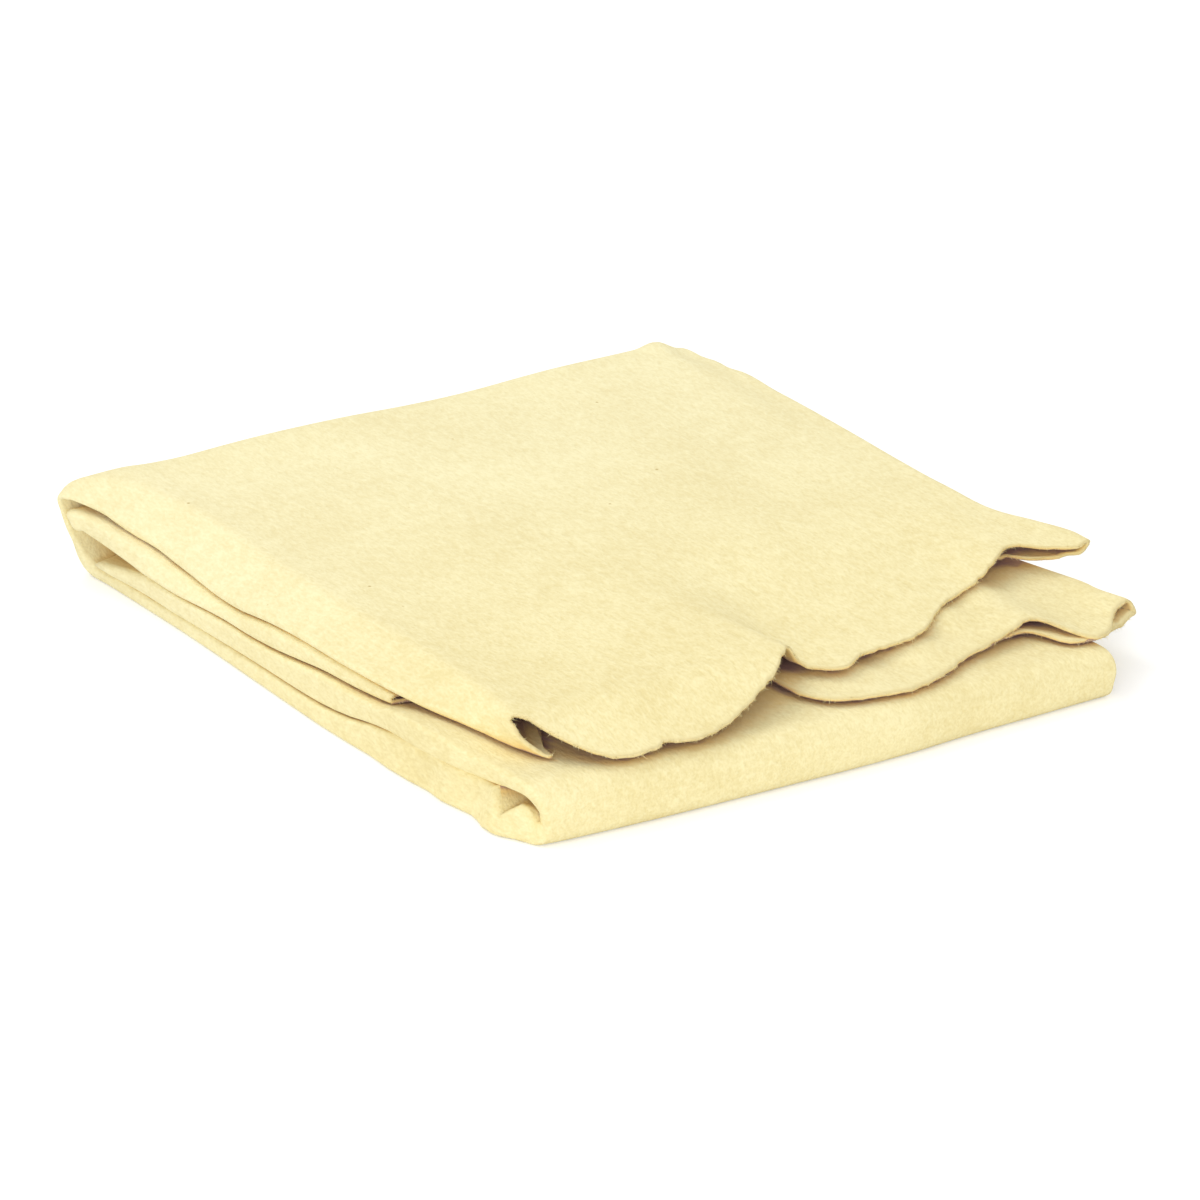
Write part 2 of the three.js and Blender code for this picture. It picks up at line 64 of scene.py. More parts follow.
# Share of the loft below each joint between two panels, by share of the length
BOTTOM_JOINT_LEFT_SHARES = [(0, 0.7), (0.12, 0.68), (0.16, 0.69), (0.2, 0.69), (0.26, 0.65), (0.32, 0.48),
    (0.38, 0.25), (0.45, 0.12), (0.6, 0.1), (0.75, 0.04), (0.84, 0), (1, 0)]
BOTTOM_JOINT_RIGHT_SHARES = [(0, 0.24), (0.25, 0.22), (0.5, 0.18), (0.75, 0.13), (1, 0)]
MIDDLE_JOINT_LEFT_SHARES = [(0, 0.84), (0.1, 0.86), (0.12, 0.91), (0.15, 0.99), (0.2, 1.03), (0.25, 0.97),
    (0.3, 0.75), (0.36, 0.62), (0.44, 0.56), (0.49, 0.46), (0.54, 0.36), (0.6, 0.32), (0.65, 0.34),
    (0.7, 0.3), (0.77, 0.21), (0.84, 0.24), (1, 0.2)]
MIDDLE_JOINT_RIGHT_SHARES = [(0, 0.39), (0.25, 0.39), (0.5, 0.29), (0.75, 0.16), (1, 0.08)]
TOP_JOINT_LEFT_SHARES = [(0, 0.38), (0.08, 0.39), (0.12, 0.46), (0.15, 0.55), (0.2, 0.61), (0.3, 0.67),
    (0.39, 0.66), (0.49, 0.64), (0.54, 0.58), (0.58, 0.49), (0.63, 0.35), (0.68, 0.3), (0.72, 0.31),
    (0.77, 0.33), (0.8, 0.36), (0.84, 0.45), (0.88, 0.52), (0.91, 0.64), (0.95, 0.79), (1, 0.88)]
TOP_JOINT_RIGHT_SHARES = [(0, 0.42), (0.2, 0.44), (0.5, 0.52), (1, 0.58)]

# A joint: how many panels lie below it, the power of the blend from left to right, and its shares
BOTTOM_JOINT = (1, 1.0, BOTTOM_JOINT_LEFT_SHARES, BOTTOM_JOINT_RIGHT_SHARES)
MIDDLE_JOINT = (2, 0.7, MIDDLE_JOINT_LEFT_SHARES, MIDDLE_JOINT_RIGHT_SHARES)
TOP_JOINT = (3, 1.0, TOP_JOINT_LEFT_SHARES, TOP_JOINT_RIGHT_SHARES)

# Top leaf: share of the crown's height by share of the width
CROWN_SHARES = [(0, 0.993), (0.071, 1), (0.12, 0.974), (0.19, 0.958), (0.476, 0.972), (0.774, 0.944),
    (0.982, 0.895), (1.05, 0.876), (1.1, 0.885), (1.131, 0.9)]

# Its rise towards the back, then the soft crease, the lip and the tip at its front
BACK_RISE = 1.9
BACK_RISE_START = (100.0, 120.0)
BACK_RISE_LENGTH = 80.0
BACK_CORNER_DROP = 2.0
BACK_CORNER_LENGTH = 10.0
CREASE_INNER = (73.0, 78.0)
CREASE_OUTER = (88.0, 20.0)
CREASE_FADE = 12.0
CREASE_DROP = 5.4
CREASE_SOFT_WIDTH = 30.0
CREASE_SHARP_WIDTH = 3.6
LIP_START = 22.0
LIP_DEPTH = 24.0
LIP_DROP = 7.2
TIP_START = 146.0
TIP_WIDTH = 24.0
TIP_LIFT_SHARE = 0.9

# Its long soft waves: how many, the shortest and the longest, and their height
UNDULATION_WAVES = 6
UNDULATION_LENGTH = (22, 60)
UNDULATION_HEIGHT = 0.13

# Waves of the second panel's raw end, (x, lift)
WAVE_START = 60.0
WAVE_DEPTH = 45.0
UNDER_WAVE = [(84, 0.2), (114, -0.2), (133, 0), (145, 0.7), (152, 1.9), (156, 2.2), (160, 1.1),
    (164, -0.3), (171, -0.6), (175, -0.3), (178, 0.4), (181, 0.9), (184, 0.8)]
MAIN_WAVE = [(84, 0), (114, 0), (140, 0.8), (149, 1.3), (155, 1.1), (160, 0.6), (165, 0.6), (171, 0.3),
    (175, -0.1), (178, -0.3), (181, 0), (184, 0.2)]

# Raw edges, (x, y)
TOP_MAIN_EDGE = [(10, 23), (11, 20.5), (12, 19.6), (13, 18.6), (14.2, 16.8), (15.4, 14.5), (18.2, 10.3),
    (21.3, 6.9), (24.6, 3.4), (28, 1.3), (34, 0.4), (39, 1.1), (42, 2.7), (43.5, 2.2), (45, 0.9),
    (51, 0.5), (57, 2), (62, 4), (67.5, 6.4), (72, 9), (78, 12.6), (84, 17), (88, 21), (90.5, 20),
    (93, 16.6), (98, 13.4), (102, 14.4), (106.5, 17.6), (113, 18.8), (119, 19.4), (124, 20.4),
    (131, 24.6), (137, 30), (144, 34.2), (150, 36.8), (155, 38.4), (161, 41.6), (168, 46.4),
    (172, 47.2), (176.5, 43), (180, 40), (184, 38), (189.5, 39)]
TOP_UNDER_EDGE = [(80, 44), (150, 52), (171, 50), (175.5, 45.6), (180, 43.4), (184, 43), (189.5, 40)]
TOP_WRAP_EDGE = [(14, 12), (16, 12.6), (17.5, 17), (19, 23), (22, 27), (30, 31), (45, 34), (86, 36)]
TOP_CREASE_EDGE = 11.6
TOP_RIDGE_EDGE = 19.5
STRIP_END_BOW = 2.2
STRIP_BOW_LENGTH = 22.0
SECOND_UNDER_EDGE = [(80, 36), (84, 22), (86.5, 12), (89.5, 7.2), (94, 4.6), (100, 3.2), (106, 2.4),
    (112.5, 2), (122.5, 5.8), (131.5, 10.5), (139, 12.8), (148, 15.6), (155, 16.8), (158, 15),
    (161, 9.5), (165, 5), (169, 4.8), (172, 7.4), (174.5, 10.6), (177, 13.2), (180, 15.4), (182.5, 16.4)]
SECOND_MAIN_EDGE = [(0, 58), (20, 54), (60, 48), (80, 42), (89, 28), (93, 13), (100, 7), (114, 5),
    (123, 8.5), (132, 13.3), (140.5, 15), (149, 16.7), (155, 16), (158.5, 9), (162, 6.6), (169, 7),
    (172, 8.8), (175, 10.2), (178, 11.6), (182.5, 14.2)]
SECOND_WRAP_EDGE = [(0, 58), (30, 56), (80, 52)]
SECOND_LEFT_EDGE = 58.0
SECOND_TIP_EDGE = 14.2
SECOND_TIP_SLANT = 2.2

# Side folds along the panels, (y, x)
TOP_RIDGE = [(0, 10.8), (19, 10.8), (32, 12.4), (60, 14), (110, 12), (165, 13), (190, 9)]
TOP_CREASE = [(10, 16.6), (14, 14.5), (39, 6), (62, 2), (100, 0.8), (122, 1), (140, 1.7), (155, 2.7),
    (168, 2.6), (180, 0.6), (190, -1.2), (200, -2.5)]
TOP_RIGHT = [(38, 189), (45, 188.6), (53, 186.4), (66, 182), (83, 179.4), (105, 179.6), (150, 180.6),
    (176, 179.6), (200, 175)]
SECOND_LEFT = [(57, 2.0), (100, 0.5), (150, -1.0), (172, -1.6)]
SECOND_RIGHT = [(10, 183), (15, 184.2), (19, 183.2), (24, 182), (30, 181.8), (38, 180.4), (45, 179),
    (60, 176), (100, 172), (172, 170)]
THIRD_LEFT = [(12, 4.0), (20, 2.8), (30, 0.9), (42, -0.3), (60, -0.1), (80, 0.1), (100, 0), (190, -0.5)]
BOTTOM_LEFT = [(10, 0.4), (15, 0.4), (18.5, 1.4), (22, 2.2), (25, 2.2), (28, 1.7), (32, 1.0), (40, 0.2),
    (47, -0.5), (52, -0.3), (60, 0.2), (70, 0.2), (78, -0.4), (95, -0.3), (110, 0), (150, 0.7), (190, 0.2)]

# How far the side folds lean, the second panel's as (y, lean)
SIDE_SLANT = 0.3
SECOND_SLANT = [(60, 0.3), (115, 0.3), (140, 2.6), (155, 3), (172, 1.6)]
CORNER_SLANT = 3.0
CORNER_LENGTH = 26.0

# How far the right side of the two lower panels draws in towards the front
BOTTOM_PULL = 2.6
THIRD_PULL = 1.0
PULL_START = 70.0
PULL_LENGTH = 60.0

# Long raw edges of the flaps, x from the start to the end of each stretch
UNDER_FLAP = {"top": (98, 66), "back": (66, 55), "bottom": (55, 55), "front": (55, 58), "third": (58, 60),
    "inner": (60, 66), "second": (66, 86)}
WRAP_FLAP = {"top": (88, 92), "back": (92, 105), "bottom": (105, 105), "front": (105, 105),
    "third": (105, 100), "inner": (100, 95), "second": (95, 80)}

# Height of the under leaf, as a share of the side fold's rise, and how fast it settles at the middle
MIDDLE_LEAF_SHARE = 0.5
TOP_UNDER_LEAF_SHARE = 0.2
TOP_UNDER_LEAF_PACE = 2.5
SECOND_UNDER_LEAF_SHARE = 0.3

# Rise of the side folds
TOP_LEFT_RISE = 7.0
TOP_RIGHT_RISE = 5.0
SECOND_LEFT_RISE = (8.0, 3.0)
SECOND_RIGHT_RISE = 4.0

# Rounding of the side folds. A rounded corner takes at most the corner share of a run
SIDE_ROUND = 1.9
LOWER_ROUND = 1.0
CORNER_SHARE = 0.45
RIDGE_CUT = 1.8
CREASE_CUT = 1.4

# Bends. Their side folds are (share of the way round the bend, x or rise)
BEND_INSET = PRESSED_PANEL + 0.6
UPRIGHT_SHARES = [(0, 1), (1, 1)]

# Outer back bend: the hump of its head is (x, height)
BACK_START = 184.0
BACK_REACH = 205.3
BACK_FOOT = 199.6
BACK_HUMP = [(0, 0.5), (25, 0.6), (52, 1.5), (75, 0.6), (105, -0.3), (130, 0.3), (168, 0.5)]
BACK_SKEW = 2.0
BACK_CUTS = (7.5, 6.5)
BACK_INNER_CUTS = (4.5, 4.5)
BACK_RIGHT = [(0, 179.5), (0.35, 176), (0.6, 170), (1, 168)]
BACK_CREASE = [(0, -0.1), (0.067, -1.3), (0.133, -3.8), (0.2, -6.5), (0.33, -7.1), (0.55, -5.3),
    (0.68, -2.5), (0.8, -0.6), (1, -0.2)]
BACK_RIDGE = [(0, 9.9), (0.3, -2.2), (0.6, -2.3), (1, 0.2)]
BACK_UPRIGHT_SHARES = [(0, 0), (0.3, 1)]
BACK_LEFT_RISE = [(0, 7), (0.4, PRESSED_PANEL), (1, PRESSED_PANEL)]
BACK_RIGHT_RISE = [(0, 5), (0.4, PRESSED_PANEL), (1, PRESSED_PANEL)]

# Front bend: its bulge is (x, how far out)
FRONT_START = 14.0
FRONT_REACH = 1.6
FRONT_LEAN = 1.0
FRONT_BULGE = [(0, -1.5), (14, 0), (40, 1.4), (74, 2.1), (92, 2.4), (108, 2.1), (125, 0.9), (145, 0.3),
    (168, -0.4)]
FRONT_CUTS = (3.2, 6.0)
FRONT_INNER_CUTS = (2.6, 3.4)
FRONT_RIGHT = [(0, 165.4), (0.2, 165.2), (0.35, 166), (0.6, 167.4), (0.8, 167.4), (1, 167)]
FRONT_OUTER_LEFT = [(0, 0.3), (0.06, 0.6), (0.12, 1.6), (0.17, 2.9), (0.22, 4.2), (0.3, 5.6), (0.42, 7.6),
    (0.55, 7.6), (0.65, 6.2), (0.78, 4.6), (0.88, 4), (1, 3.8)]
FRONT_INNER_LEFT = [(0, 2.6), (0.06, 2.6), (0.12, 3), (0.2, 4), (0.3, 5.8), (0.42, 7.8), (0.55, 7.8),
    (0.65, 6.4), (0.78, 4.9), (0.88, 4.3), (1, 4.1)]
FRONT_LEFT_RISE = [(0, 9), (0.2, PRESSED_PANEL), (0.8, PRESSED_PANEL), (1, 4)]
FRONT_RIGHT_RISE = [(0, 5), (0.2, PRESSED_PANEL), (0.8, PRESSED_PANEL), (1, 4)]

# Ledge in the pocket at the left end of the front bend, (y, height)
LEDGE = [(3, 4.6), (3.6, 5.6), (4.6, 7.6), (5.6, 8.3), (7, 7.4), (10, 5.2), (12, 3.8), (13, 5.8), (14, 9.9)]
LEDGE_CLIMB = 0.08
LEDGE_DEPTH = 17.0
LEDGE_GROWTH = 1.4
LEDGE_ROWS = 17

# Inner back bend: a lump round a cavity
INNER_START = 168.0
LUMP_FOOT = 195.7
LUMP_REACH = 200.3
LUMP_RISE = 1.0
LUMP_END_RISE = 2.7
LUMP_END_LENGTH = 34.0
LUMP_DEPTH = 4.4
LUMP_WALL = 3.4
LUMP_FOOT_WALL = 3.2
LUMP_CUTS = (3.6, 4.6)
CAVITY_DROP = 1.6
CAVITY_DROP_END = 50.0
CAVITY_DROP_FADE = 30.0
CAVITY_CUTS = (2.6, 3.4)
INNER_RIGHT = [(0, 168), (1, 170)]
INNER_LEFT = [(0, -0.4), (0.1, -1.2), (0.143, -1.2), (0.179, 2.5), (0.214, 6.4), (0.25, 8.2), (0.35, 8.4),
    (0.45, 8.4), (0.54, 6.4), (0.63, 0.6), (0.72, -4.4), (0.85, -4), (1, -1.6)]
INNER_LEFT_RISE = [(0, 4), (0.6, 6), (1, 8)]
INNER_RIGHT_RISE = [(0, 4), (1, 4)]

# Dents and bulges: (place), reach, (move)
TOP_PUSHES = [((189, 40, 16), 9, (-2.2, 0, 1.0)), ((180, 176, 20), 14, (0, 0, 1.0)),
    ((184, 72, 19), 16, (0, 0, -1.0))]
BOTTOM_PUSHES = [((0, 44, 9), 14, (3.0, 0, 0)), ((0, 31, 4), 11, (-0.3, 0, 0))]
BACK_PUSHES = [((176, 196, 22), 9, (0, -0.8, -1.0)), ((170, 202, 23), 7, (0, 0.4, 1.0))]
THIRD_PUSHES = [((0, 40, 14), 30, (-0.8, 0, 0))]
SECOND_PUSHES = [((100, 19, 14.5), 14, (0, 0, 1.3)), ((122, 23, 15), 13, (0, 0, 1.9)),
    ((137, 34, 15.5), 13, (0, 0, 2.4)), ((152, 42, 16), 13, (0, 0, 2.2))]
INNER_PUSHES = [((-4, 198, 19), 10, (-1.2, 0, -0.2))]

# Rays that measure how open the outlook of a point of the hide is, which sets the painted shade inside the
# folds
OUTLOOK_RAYS = 24
OUTLOOK_SPREAD = 0.98
OUTLOOK_START = 0.15
OUTLOOK_REACH = 30.0

# Raw edges: uneven steps, and loose fibres
RAGGED_RANGE = (-50, 1400)
RAGGED_STEP = 1.3
RAGGED_DEPTH = 0.3
RAGGED_LEAF_SHIFT = 400
RAGGED_END_SHIFT = 700
FIBRES_PER_MM = 8
FIBRE_LENGTH = (0.3, 1.1)
FIBRE_RADIUS = 0.07
FIBRE_WAIST_SHARE = 0.8
FIBRE_SIDES = 3
FIBRE_CURL = 0.5
FIBRE_ROOT_DEPTH = 0.15
FIBRE_ROOT_SHARE = 0.8

# Steps of the mesh: columns across, rows along, and for a bend its runs and its rounded corners
UNDER_STEPS = 52
TURN_STEPS = 5
MAIN_STEPS = 110
RIDGE_STEPS = 6
STRIP_STEPS = 8
CREASE_STEPS = 4
WRAP_STEPS = 12
TOP_ROWS = 64
BOTTOM_ROWS = 18
THIRD_ROWS = 24
SECOND_ROWS = 44
BACK_STEPS = ((5, 6, 4), (9, 6))
FRONT_STEPS = ((8, 5, 4), (6, 9))
INNER_STEPS = ((4, 6, 4), (6, 8))

# How much closer together the rows are at one end of a panel: 0 even, 1 most
TOP_ROWS_CROWDING = 0.6
BOTTOM_ROWS_CROWDING = 0.8
THIRD_ROWS_CROWDING = 0.6
SECOND_ROWS_CROWDING = 0.5

# The part of the hide that each column belongs to
LEAVES = np.array(["under"] * UNDER_STEPS + ["turn"] * (2 * TURN_STEPS) + ["main"] * MAIN_STEPS
    + ["ridge"] * RIDGE_STEPS + ["side"] * (STRIP_STEPS + 2 * CREASE_STEPS) + ["wrap"] * (WRAP_STEPS + 1))

# Colours of the suede, in levels of 255
BACK_DARK = (243, 230, 179)
BACK_LIGHT = (254, 245, 199)
FRONT_DARK = (240, 224, 165)
FRONT_LIGHT = (254, 242, 190)
SPECK_COLOUR = (205, 182, 124)
RIM_COLOUR = (243, 226, 170)
# The last two are painted shade: a warm tan for light shade and a lilac brown for deep shade inside the
# folds
TAN_PAINTED_SHADE_COLOUR = (244, 209, 136)
DEEP_PAINTED_SHADE_COLOUR = (182, 148, 150)

# The suede yellows towards the front, from one y to the other, in metres
YELLOWING = (0.08, -0.09)

# Painted shade inside the folds: from and to which hidden share the tan and the deep shade colour grow, and
# the most of them
TAN_PAINTED_SHADE_SHARES = (0.4, 0.9, 0.8)
DEEP_PAINTED_SHADE_SHARES = (0.8, 1.0, 0.9)

# Noises of the suede: size in metres, detail. Grain and nap lie along the length, and are stretched that way
PATCHES = (0.030, 2)
MOTTLING = (0.006, 3)
GRAIN = (0.0014, 1)
NAP = (0.0006, 1)
NAP_STRETCH = (1.0, 0.45, 1.0)

# Their weights, in that order, and the sums that give the dark and the light colour. The bump leaves out
# the patches
TONE_WEIGHTS = (1.0, 0.7, 1.15, 1.5)
TONE_RANGE = (-0.5, 0.5)
BUMP_WEIGHTS = (1.2, 1.0, 0.6)
BUMP_STRENGTH = 0.35
BUMP_HEIGHT = 0.0006

# Specks: their spacing in metres, their outer and inner radius as shares of it, and the places without one
SPECK_SPACING = 0.011
SPECK_RADIUS_SHARES = (0.05, 0.02)
SPECK_FREE_SHARE = 0.72

SHEEN = 0.08
SHEEN_ROUGHNESS = 0.5

# Studio: lengths in metres, power in watts
WHITE = (1, 1, 1, 1)
AMBIENT_STRENGTH = 0.8
BACKDROP_STRENGTH = 1.0
FLOOR_SIZE = 12
FLOOR_COLOUR = (0.88, 0.88, 0.88, 1)
FLOOR_ROUGHNESS = 0.9
FLOOR_GLOW = 0.3
LAMP_SIZE = 0.9
KEY_PLACE = (-1.1, -1.3, 0.5)
KEY_POWER = 8.5
BACK_PLACE = (-0.4, 0.9, 1.5)
BACK_POWER = 6.1

# Camera: lens and sensor in millimetres, angles in degrees, the rest in metres
LENS = 240
SENSOR = 36
CAMERA_TURN = 32.79
CAMERA_TILT = 22.70
CAMERA_DISTANCE = 1.955
CAMERA_TARGET = (0.0968, 0.1155, 0.0)
CAMERA_CLIP_END = 50


def mix(start, end, t):
    return start + (end - start) * t


def hold(t):
    return np.clip(t, 0.0, 1.0)


def ease(t):
    """Smooth step from 0 to 1."""
    t = hold(t)
    return t * t * (3 - 2 * t)


def arch(t):
    """0 at both ends, 1 in the middle."""
    return 4 * t * (1 - t)


def through(place, points):
    """Value at a place of a smooth curve through (place, value) points, level past both ends."""
    at = np.array([point[0] for point in points], float)
    value = np.array([point[1] for point in points], float)
    place = np.clip(np.asarray(place, float), at[0], at[-1])
    slope = np.zeros(len(at))
    slope[1:-1] = (value[2:] - value[:-2]) / (at[2:] - at[:-2])
    k = np.clip(np.searchsorted(at, place, side="right") - 1, 0, len(at) - 2)
    span = at[k + 1] - at[k]
    t = (place - at[k]) / span
    lead = t * (1 - t) ** 2 * span * slope[k]
    trail = t ** 2 * (t - 1) * span * slope[k + 1]
    return mix(value[k], value[k + 1], ease(t)) + lead + trail


def crowded_start(t, crowding):
    """Place of a row, 0 to 1, with the rows closer together at the start."""
    return mix(t, t ** 2, crowding)


def crowded_end(t, crowding):
    return 1 - crowded_start(1 - t, crowding)


def ragged(place):
    """Small uneven steps of a cut edge."""
    knots = np.arange(*RAGGED_RANGE, RAGGED_STEP)
    steps = np.random.default_rng(SEED).normal(0, RAGGED_DEPTH, len(knots))
    return np.interp(place, knots, steps)


def towards(corner, following, cut):
    """The point a cut away from the corner, or closer where the run is short."""
    span = following - corner
    length = np.linalg.norm(span, axis=-1, keepdims=True)
    return corner + span * np.minimum(cut / length, CORNER_SHARE)


def route(corners, cuts, runs, turns):
    """Points along straight runs joined by rounded corners. A corner is a pair of numbers or arrays."""
    shape = np.broadcast_shapes(*(np.shape(part) for corner in corners for part in corner))
    points = [np.stack([np.broadcast_to(part, shape) for part in corner], -1).astype(float)
        for corner in corners]
    path = []
    start = points[0]
    for k in range(1, len(points)):
        last = k == len(points) - 1
        end = points[k] if last else towards(points[k], points[k - 1], cuts[k - 1])
        path += [mix(start, end, q / runs[k - 1]) for q in range(runs[k - 1])]
        if not last:
            start = towards(points[k], points[k + 1], cuts[k - 1])
            for q in range(turns[k - 1]):
                t = q / turns[k - 1]
                path.append((1 - t) ** 2 * end + 2 * (1 - t) * t * points[k] + t * t * start)
    path.append(points[-1])
    return np.array(path)


def joint_height(joint, x, y):
    panels_below, power, left_shares, right_shares = joint
    place = y / PANEL_LENGTH
    across = hold(x / PANEL_WIDTH) ** power
    share = mix(through(place, left_shares), through(place, right_shares), across)
    return FLOOR_LEAF + LEAF_STEP * (LEAVES_PER_PANEL * panels_below - 0.5) + LOFT * share


def top_bottom(x, y):
    return joint_height(TOP_JOINT, x, y) + LEAF_STEP / 2


def second_top(x, y):
    return joint_height(TOP_JOINT, x, y) - LEAF_STEP / 2


def second_bottom(x, y):
    return joint_height(MIDDLE_JOINT, x, y) + LEAF_STEP / 2


def third_top(x, y):
    return joint_height(MIDDLE_JOINT, x, y) - LEAF_STEP / 2


def third_bottom(x, y):
    return joint_height(BOTTOM_JOINT, x, y) + LEAF_STEP / 2


def bottom_top(x, y):
    return joint_height(BOTTOM_JOINT, x, y) - LEAF_STEP / 2


def back_lift(x, y):
    """Rise of the top leaf towards the back, less its dip at the back right corner."""
    rise = BACK_RISE * ease((x - BACK_RISE_START[0]) / BACK_RISE_LENGTH)
    dip = BACK_CORNER_DROP * ease((x - PANEL_WIDTH) / BACK_CORNER_LENGTH)
    return ease((y - BACK_RISE_START[1]) / BACK_RISE_LENGTH) * (rise - dip)


def front_fall(x, y):
    """Fall of the top leaf at the front: the lip before the soft crease, the step beyond it."""
    along = hold((CREASE_INNER[1] - y) / (CREASE_INNER[1] - CREASE_OUTER[1]))
    line = mix(CREASE_INNER[0], CREASE_OUTER[0], along)
    beyond = ease((x - line) / mix(CREASE_SOFT_WIDTH, CREASE_SHARP_WIDTH, ease(along)))
    fade_end = CREASE_INNER[1] + CREASE_FADE
    step = CREASE_DROP * ease((fade_end - y) / (fade_end - CREASE_OUTER[1]))
    tip = TIP_LIFT_SHARE * ease((x - TIP_START) / TIP_WIDTH)
    lip = LIP_DROP * ease((LIP_START - y) / LIP_DEPTH)
    return lip * (1 - beyond) + step * beyond * (1 - tip)


def undulation(x, y):
    """Soft unevenness of the top leaf: a few long seeded waves."""
    chance = np.random.default_rng(SEED)
    height = 0
    for _ in range(UNDULATION_WAVES):
        heading, phase = chance.uniform(0, 2 * math.pi, 2)
        length = chance.uniform(*UNDULATION_LENGTH)
        distance = x * math.cos(heading) + y * math.sin(heading)
        height = height + np.sin(distance * 2 * math.pi / length + phase)
    return UNDULATION_HEIGHT * height / UNDULATION_WAVES ** 0.5


def crown_height(x, y):
    crown = CROWN_LEAF * through(x / PANEL_WIDTH, CROWN_SHARES)
    return crown + back_lift(x, y) - front_fall(x, y) + undulation(x, y)


def section(under_edge, wrap_edge, right, ridge, crease, left_rise, right_rise, under_share, upright,
        left_round=SIDE_ROUND):
    """x and level of every column across one row: level 0 at the wrap flap, 1 at the main leaf."""
    under = under_share * right_rise
    turn_cut = (right_rise - under) / 2
    main_start = right - turn_cut
    right_fold = route(
        [(under_edge, under), (right, under), (right, right_rise), (main_start, right_rise)],
        (turn_cut, turn_cut), (UNDER_STEPS, 0, 0), (TURN_STEPS, TURN_STEPS))
    main_end = (ridge + RIDGE_CUT / CORNER_SHARE, left_rise)
    slanted = route(
        [main_end, (ridge, left_rise), (crease, LEAF_STEP), (crease, 0), (wrap_edge, 0)],
        (RIDGE_CUT, CREASE_CUT, CREASE_CUT), (1, STRIP_STEPS, 0, WRAP_STEPS),
        (RIDGE_STEPS, CREASE_STEPS, CREASE_STEPS))
    upright_steps = (RIDGE_STEPS + STRIP_STEPS + 2 * CREASE_STEPS) // 2
    side_round = min(left_rise / 2, left_round)
    upright_fold = route(
        [main_end, (ridge, left_rise), (crease, 0), (wrap_edge, 0)],
        (side_round, side_round), (1, 0, WRAP_STEPS), (upright_steps, upright_steps))
    left_fold = mix(slanted, upright_fold, upright)
    main_x = mix(main_start, ridge + RIDGE_CUT, np.arange(MAIN_STEPS) / MAIN_STEPS)
    x = np.concatenate([right_fold[:-1, 0], main_x, left_fold[1:, 0]])
    level = np.concatenate(
        [right_fold[:-1, 1] / right_rise, np.ones(MAIN_STEPS), left_fold[1:, 1] / left_rise])
    return x, level


def panel_row(x, y, level, wrap_height, main_height):
    return np.stack([x, y, mix(wrap_height(x, y), main_height(x, y), level)], -1)


def pushed(rows, pushes):
    """Rows after small local moves: each is a place, how far it reaches and the move at its middle."""
    rows = np.array(rows)
    for place, reach, move in pushes:
        distance = np.linalg.norm(rows - np.array(place), axis=-1)
        rows += ease(1 - distance / reach)[..., None] * np.array(move)
    return rows


def bend_rows(name, steps, side, rises, wrap_path, main_path):
    """Rows round a bend, between the path of its wrap flap and that of its main leaf."""
    count = sum(steps[0]) + sum(steps[1])
    right, crease, ridge, upright_shares = side
    left_rise, right_rise = rises
    rows = []
    for q in range(count):
        t = q / count
        x, level = section(
            mix(*UNDER_FLAP[name], t), mix(*WRAP_FLAP[name], t), through(t, right), through(t, ridge),
            through(t, crease), through(t, left_rise), through(t, right_rise), MIDDLE_LEAF_SHARE,
            through(t, upright_shares))
        point = mix(wrap_path(x)[q], main_path(x)[q], level[:, None])
        rows.append(np.column_stack([x, point]))
    return rows


def top_edge(x, level):
    """y of the top panel's raw end in every column."""
    main = through(x, TOP_MAIN_EDGE)
    under = through(x, TOP_UNDER_EDGE)
    side = mix(TOP_CREASE_EDGE, TOP_RIDGE_EDGE, level)
    edge = np.select(
        [LEAVES == "under", LEAVES == "turn", LEAVES == "side", LEAVES == "wrap"],
        [under, mix(under, main, ease(level)), side, through(x, TOP_WRAP_EDGE)],
        main)
    return edge + ragged(x + RAGGED_LEAF_SHIFT * (LEAVES == "under"))


def top_rows():
    rows = []
    for q in range(TOP_ROWS):
        t = crowded_start(q / TOP_ROWS, TOP_ROWS_CROWDING)
        x, level = section(
            mix(*UNDER_FLAP["top"], t), mix(*WRAP_FLAP["top"], t),
            through(mix(TOP_RIGHT[0][0], BACK_START, t), TOP_RIGHT),
            through(mix(TOP_RIDGE_EDGE, BACK_START, t), TOP_RIDGE),
            through(mix(TOP_CREASE_EDGE, BACK_START, t), TOP_CREASE),
            TOP_LEFT_RISE, TOP_RIGHT_RISE,
            mix(TOP_UNDER_LEAF_SHARE, MIDDLE_LEAF_SHARE, ease(TOP_UNDER_LEAF_PACE * t)), 0)
        y = mix(top_edge(x, level), BACK_START, t)
        bow = STRIP_END_BOW * ease((TOP_RIDGE_EDGE + STRIP_BOW_LENGTH - y) / STRIP_BOW_LENGTH)
        right_side = np.isin(LEAVES, ["under", "turn"])
        x = x - bow * arch(level) * ~right_side
        rows.append(panel_row(x, y, level, top_bottom, crown_height))
    return rows


def skew(x):
    return BACK_SKEW * (x / PANEL_WIDTH - 0.5)


